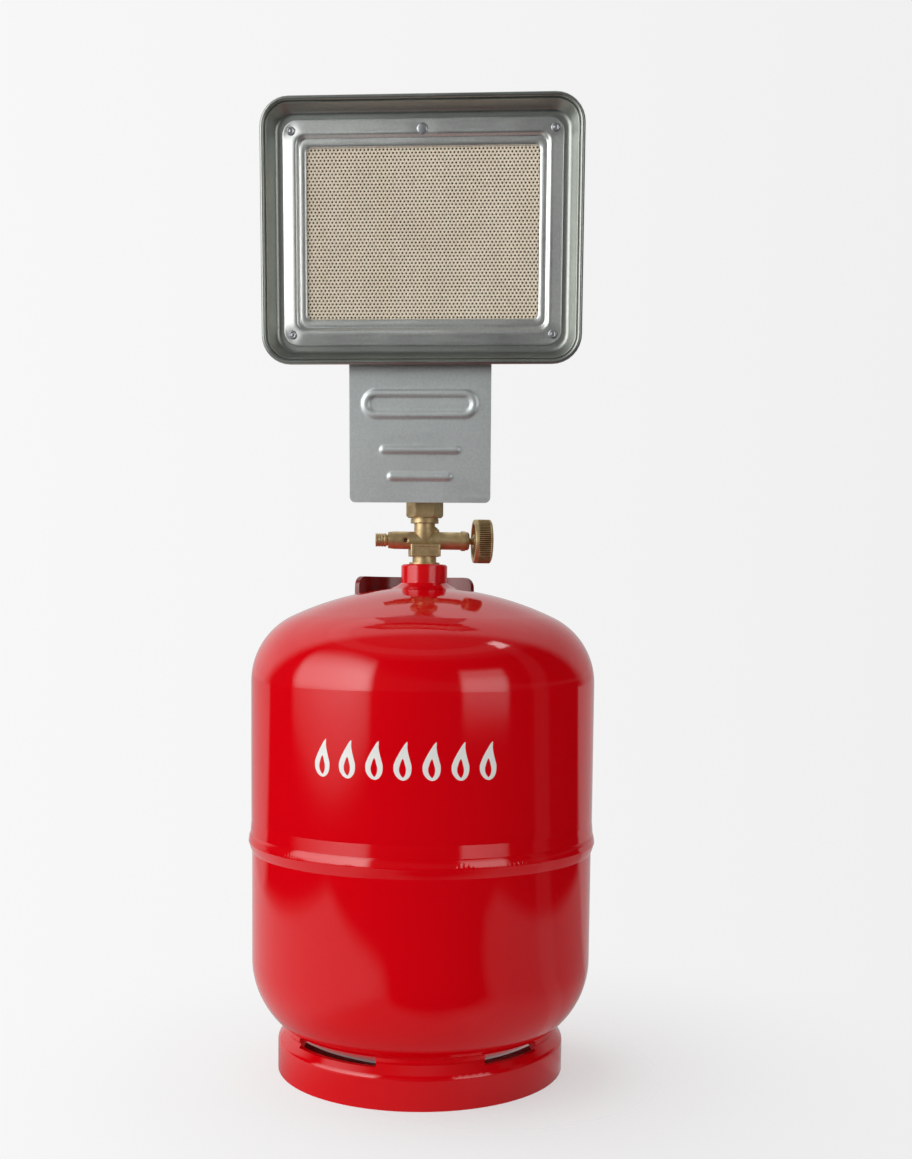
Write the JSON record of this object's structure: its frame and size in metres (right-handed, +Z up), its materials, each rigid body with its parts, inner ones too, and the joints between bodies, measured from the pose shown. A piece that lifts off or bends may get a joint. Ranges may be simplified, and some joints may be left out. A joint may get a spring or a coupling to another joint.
{
  "type": "portable propane heater",
  "caption": "Infrared ceramic burner in a reflector dish, turning on a brass needle valve that screws into a small upright steel gas cylinder with a foot ring",
  "frame": {"origin": "Centre of the foot ring on the floor.", "axes": "+Z is up along the cylinder's axis, the burner faces -Y, and the handwheel is on the +X side."},
  "size_m": [0.2072, 0.2072, 0.561],
  "materials": {
    "red_paint": "glossy sprayed enamel",
    "dark_red_paint": "dull sprayed enamel",
    "brass": "machined, slightly dulled",
    "steel": "plain rolled sheet",
    "bright_steel": "polished rolled sheet",
    "zinc_steel": "zinc plated",
    "rubber": "moulded",
    "ceramic": "unglazed, perforated",
    "fibre": "felted ceramic fibre"
  },
  "bodies": {
    "cylinder": {"upper_shell": "red_paint", "lower_shell": "red_paint", "girth_weld": "red_paint", "foot_ring": "red_paint", "foot_welds": "red_paint", "neck_boss": "red_paint", "neck_weld": "red_paint", "rear_guard": "dark_red_paint", "guard_weld": "dark_red_paint", "valve_body": "brass", "passage_plug": "brass", "gland_nut": "brass", "relief_screw": "brass", "union_washer": "rubber"},
    "spindle_travel": {"spindle_o_ring": "rubber"},
    "spindle": {"spindle": "brass", "handwheel": "brass", "handwheel_screw": "zinc_steel"},
    "relief": {"relief_poppet": "brass", "relief_pad": "rubber", "relief_spring": "zinc_steel"},
    "nut_travel": {"thrust_ring": "brass"},
    "union_nut": {"union_nut": "brass"},
    "head": {"tailpiece": "brass", "gauze_filter": "zinc_steel", "injector_jet": "brass", "mixing_tube": "steel", "burner_pan": "steel", "diffuser_plate": "steel", "plaque_gasket": "fibre", "ceramic_plaque": "ceramic", "plaque_frame": "bright_steel", "reflector_dish": "bright_steel", "corner_rivets": "zinc_steel", "top_screw": "zinc_steel", "top_screw_nut": "zinc_steel", "shield_plate": "steel"}
  },
  "joints": [
    {"name": "spindle_lift", "type": "slide", "parent": "cylinder", "child": "spindle_travel", "axis": [0.9816, 0.1908, 0], "range_m": [0, 0.002]},
    {"name": "spindle_turn", "type": "hinge", "parent": "spindle_travel", "child": "spindle", "pos_m": [0.03338, 0.00649, 0.31678], "axis": [0.9816, 0.1908, 0], "range_deg": [0, 720]},
    {"name": "relief_lift", "type": "slide", "parent": "cylinder", "child": "relief", "axis": [-0.9816, -0.1908, 0], "range_m": [0, 0.0008], "stiffness_N_per_m": 2000, "springref_m": -0.001},
    {"name": "nut_lift", "type": "slide", "parent": "cylinder", "child": "nut_travel", "axis": [0, 0, 1], "range_m": [0, 0.009]},
    {"name": "nut_turn", "type": "hinge", "parent": "nut_travel", "child": "union_nut", "pos_m": [0, 0, 0.337], "axis": [0, 0, 1], "range_deg": [0, 2160]},
    {"name": "head_turn", "type": "hinge", "parent": "cylinder", "child": "head", "pos_m": [0, 0, 0.3392], "axis": [0, 0, 1], "continuous": true}
  ],
  "couplings": [
    {"joint": "spindle_turn", "follows": "spindle_lift", "rad_per_m": 6283.2},
    {"joint": "nut_turn", "follows": "nut_lift", "rad_per_m": 4188.8}
  ]
}
